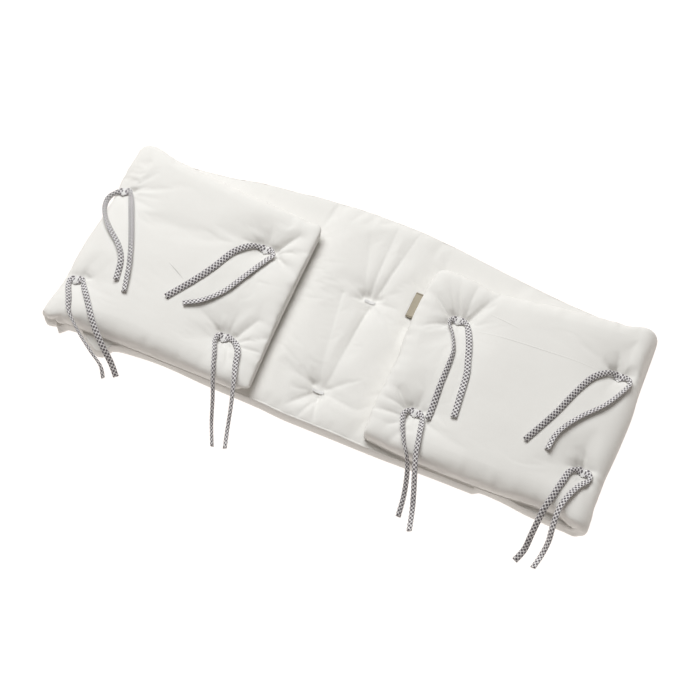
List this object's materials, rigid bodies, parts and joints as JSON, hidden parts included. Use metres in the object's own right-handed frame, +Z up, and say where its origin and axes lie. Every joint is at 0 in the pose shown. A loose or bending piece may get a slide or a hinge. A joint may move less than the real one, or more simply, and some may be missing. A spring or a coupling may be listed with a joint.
{
  "type": "crib bumper",
  "caption": "Padded cotton crib bumper, folded: a long tufted band lies flat with both ends folded in over its middle, and ties of flat braid with loose tails on its flaps.",
  "frame": {"origin": "middle of the band's box without its ties, on the surface that the folded band lies on", "axes": "+X along the folded band from its left fold to its right one, +Y from its straight front edge to its arched back edge, +Z up out of the flaps"},
  "size_m": [0.7659, 0.4051, 0.053],
  "materials": {
    "cotton": "matte",
    "braid": "matte",
    "thread": "satin",
    "woven_tape": "matte"
  },
  "bodies": {
    "root": {"pad": "cotton", "tie_1": "braid", "tie_2": "braid", "tie_3": "braid", "tie_4": "braid", "tie_5": "braid", "tie_6": "braid", "tie_7": "braid", "tie_8": "braid", "tack_1": "thread", "tack_2": "thread", "tack_3": "thread", "tack_4": "thread", "tack_5": "thread", "tack_6": "thread", "tack_7": "thread", "tack_8": "thread", "panel_tack_1": "thread", "panel_tack_2": "thread", "label": "woven_tape"}
  },
  "joints": []
}
